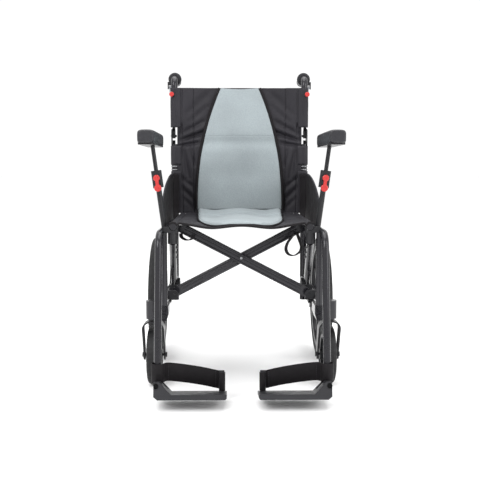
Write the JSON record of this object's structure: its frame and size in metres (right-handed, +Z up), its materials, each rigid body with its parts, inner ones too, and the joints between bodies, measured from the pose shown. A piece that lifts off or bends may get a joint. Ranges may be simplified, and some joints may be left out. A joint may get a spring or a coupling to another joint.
{
  "type": "transport wheelchair",
  "caption": "Folding transport wheelchair with a scissor cross-brace, sling seat and half-folding back, height-adjustable armrests, flip-up footplates, castors and push handles.",
  "frame": {"origin": "on the floor under the middle of the chair's box", "axes": "+Z up, -Y is the front of the chair, +X to the right of someone who faces the chair"},
  "size_m": [0.58, 0.8009, 0.953],
  "materials": {
    "frame_paint": "satin dark grey paint over tube",
    "black_metal": "satin black",
    "steel": "zinc plated",
    "black_plastic": "moulded, fine grain",
    "plate_plastic": "moulded, ribbed",
    "rim_plastic": "moulded composite",
    "clear_grey": "smoke grey moulding",
    "red_plastic": "bright red moulding",
    "tyre": "solid tread",
    "grip_rubber": "soft grip",
    "arm_foam": "skinned foam",
    "black_cloth": "woven nylon",
    "guard_cloth": "woven nylon over board",
    "grey_cloth": "pale grey padded mesh",
    "webbing": "flat woven band"
  },
  "bodies": {
    "frame_left": {"side_rail_left": "frame_paint", "back_post_left": "frame_paint", "frame_struts_left": "frame_paint", "caster_head_left": "frame_paint", "axle_plate_left": "black_metal", "side_guard_left": "guard_cloth", "arm_socket_left": "black_plastic", "frame_brackets_left": "black_plastic", "frame_bolts_left": "black_metal", "back_sling_lower": "black_cloth", "back_pad_lower": "grey_cloth"},
    "frame_right": {"side_rail_right": "frame_paint", "back_post_right": "frame_paint", "frame_struts_right": "frame_paint", "caster_head_right": "frame_paint", "axle_plate_right": "black_metal", "side_guard_right": "guard_cloth", "arm_socket_right": "black_plastic", "frame_brackets_right": "black_plastic", "frame_bolts_right": "black_metal"},
    "brace_a": {"brace_arm_a": "frame_paint", "seat_rail_right": "frame_paint", "seat_sling": "black_cloth", "seat_pad": "grey_cloth", "webbing_loop_right": "webbing"},
    "brace_b": {"brace_arm_b": "frame_paint", "seat_rail_left": "frame_paint", "brace_bolt": "black_metal", "webbing_loop_left": "webbing"},
    "back_upper_left": {"back_post_upper_left": "frame_paint", "handle_grip_left": "grip_rubber", "back_sling_upper": "black_cloth", "back_pad_upper": "grey_cloth"},
    "brake_lever_left": {"brake_lever_left": "clear_grey"},
    "back_catch_left": {"back_catch_left": "red_plastic"},
    "armrest_left": {"arm_post_left": "black_metal", "arm_pad_left": "arm_foam"},
    "arm_lever_left": {"arm_lever_left": "red_plastic"},
    "footplate_left": {"footplate_left": "plate_plastic", "heel_strap_left": "webbing"},
    "rear_wheel_left": {"rear_tyre_left": "tyre", "rear_rim_left": "rim_plastic"},
    "caster_fork_left": {"caster_fork_left": "black_metal"},
    "caster_wheel_left": {"caster_tyre_left": "tyre", "caster_hub_left": "rim_plastic"},
    "back_upper_right": {"back_post_upper_right": "frame_paint", "handle_grip_right": "grip_rubber"},
    "brake_lever_right": {"brake_lever_right": "clear_grey"},
    "back_catch_right": {"back_catch_right": "red_plastic"},
    "armrest_right": {"arm_post_right": "black_metal", "arm_pad_right": "arm_foam"},
    "arm_lever_right": {"arm_lever_right": "red_plastic"},
    "footplate_right": {"footplate_right": "plate_plastic", "heel_strap_right": "webbing"},
    "rear_wheel_right": {"rear_tyre_right": "tyre", "rear_rim_right": "rim_plastic"},
    "caster_fork_right": {"caster_fork_right": "black_metal"},
    "caster_wheel_right": {"caster_tyre_right": "tyre", "caster_hub_right": "rim_plastic"}
  },
  "joints": [
    {"name": "fold", "type": "hinge", "parent": "frame_left", "child": "brace_a", "pos_m": [-0.195, 0, 0.267], "axis": [0, -1, 0], "range_deg": [0, 42], "deforming": ["seat_sling", "seat_pad", "back_sling_upper", "back_sling_lower", "back_pad_upper", "back_pad_lower"]},
    {"name": "brace_cross", "type": "hinge", "parent": "brace_a", "child": "brace_b", "pos_m": [0, 0, 0.374], "axis": [0, -1, 0], "range_deg": [-84, 0]},
    {"name": "right_frame", "type": "hinge", "parent": "brace_b", "child": "frame_right", "pos_m": [0.195, 0, 0.267], "axis": [0, -1, 0], "range_deg": [0, 42]},
    {"name": "back_fold_left", "type": "hinge", "parent": "frame_left", "child": "back_upper_left", "pos_m": [-0.218, 0.27, 0.74], "axis": [-1, 0, 0], "range_deg": [0, 110]},
    {"name": "brake_left", "type": "hinge", "parent": "back_upper_left", "child": "brake_lever_left", "pos_m": [-0.234, 0.276, 0.903], "axis": [1, 0, 0], "range_deg": [0, 10], "stiffness_Nm_per_rad": 1.5, "springref_deg": -11.46},
    {"name": "catch_left", "type": "slide", "parent": "back_upper_left", "child": "back_catch_left", "axis": [0, 0, 1], "range_m": [0, 0.008], "stiffness_N_per_m": 100, "springref_m": -0.002},
    {"name": "arm_height_left", "type": "slide", "parent": "frame_left", "child": "armrest_left", "axis": [-0.1323, 0, 0.9912], "range_m": [-0.05, 0.05]},
    {"name": "arm_latch_left", "type": "hinge", "parent": "frame_left", "child": "arm_lever_left", "pos_m": [-0.24174, -0.132, 0.588], "axis": [0.9912, 0, 0.1323], "range_deg": [0, 8], "stiffness_Nm_per_rad": 0.6, "springref_deg": -11.46},
    {"name": "footplate_flip_left", "type": "hinge", "parent": "frame_left", "child": "footplate_left", "pos_m": [-0.226, -0.3445, 0.058], "axis": [0, -0.9816, 0.1908], "range_deg": [0, 90], "deforming": ["heel_strap_left"]},
    {"name": "rear_wheel_spin_left", "type": "hinge", "parent": "frame_left", "child": "rear_wheel_left", "pos_m": [-0.273, 0.2, 0.2], "axis": [1, 0, 0], "continuous": true},
    {"name": "caster_swivel_left", "type": "hinge", "parent": "frame_left", "child": "caster_fork_left", "pos_m": [-0.254, -0.168, 0.222], "axis": [0, 0, 1], "continuous": true},
    {"name": "caster_spin_left", "type": "hinge", "parent": "caster_fork_left", "child": "caster_wheel_left", "pos_m": [-0.254, -0.128, 0.085], "axis": [1, 0, 0], "continuous": true},
    {"name": "back_fold_right", "type": "hinge", "parent": "frame_right", "child": "back_upper_right", "pos_m": [0.218, 0.27, 0.74], "axis": [-1, 0, 0], "range_deg": [0, 110]},
    {"name": "brake_right", "type": "hinge", "parent": "back_upper_right", "child": "brake_lever_right", "pos_m": [0.234, 0.276, 0.903], "axis": [1, 0, 0], "range_deg": [0, 10], "stiffness_Nm_per_rad": 1.5, "springref_deg": -11.46},
    {"name": "catch_right", "type": "slide", "parent": "back_upper_right", "child": "back_catch_right", "axis": [0, 0, 1], "range_m": [0, 0.008], "stiffness_N_per_m": 100, "springref_m": -0.002},
    {"name": "arm_height_right", "type": "slide", "parent": "frame_right", "child": "armrest_right", "axis": [0.1323, 0, 0.9912], "range_m": [-0.05, 0.05]},
    {"name": "arm_latch_right", "type": "hinge", "parent": "frame_right", "child": "arm_lever_right", "pos_m": [0.24174, -0.132, 0.588], "axis": [0.9912, 0, -0.1323], "range_deg": [0, 8], "stiffness_Nm_per_rad": 0.6, "springref_deg": -11.46},
    {"name": "footplate_flip_right", "type": "hinge", "parent": "frame_right", "child": "footplate_right", "pos_m": [0.226, -0.3445, 0.058], "axis": [0, 0.9816, -0.1908], "range_deg": [0, 90], "deforming": ["heel_strap_right"]},
    {"name": "rear_wheel_spin_right", "type": "hinge", "parent": "frame_right", "child": "rear_wheel_right", "pos_m": [0.273, 0.2, 0.2], "axis": [1, 0, 0], "continuous": true},
    {"name": "caster_swivel_right", "type": "hinge", "parent": "frame_right", "child": "caster_fork_right", "pos_m": [0.254, -0.168, 0.222], "axis": [0, 0, 1], "continuous": true},
    {"name": "caster_spin_right", "type": "hinge", "parent": "caster_fork_right", "child": "caster_wheel_right", "pos_m": [0.254, -0.128, 0.085], "axis": [1, 0, 0], "continuous": true}
  ],
  "couplings": [
    {"joint": "brace_cross", "follows": "fold", "ratio": -2},
    {"joint": "right_frame", "follows": "fold", "ratio": 1},
    {"joint": "footplate_flip_left", "follows": "fold", "ratio": 2.1428},
    {"joint": "footplate_flip_right", "follows": "fold", "ratio": 2.1428},
    {"joint": "back_fold_right", "follows": "back_fold_left", "ratio": 1}
  ]
}
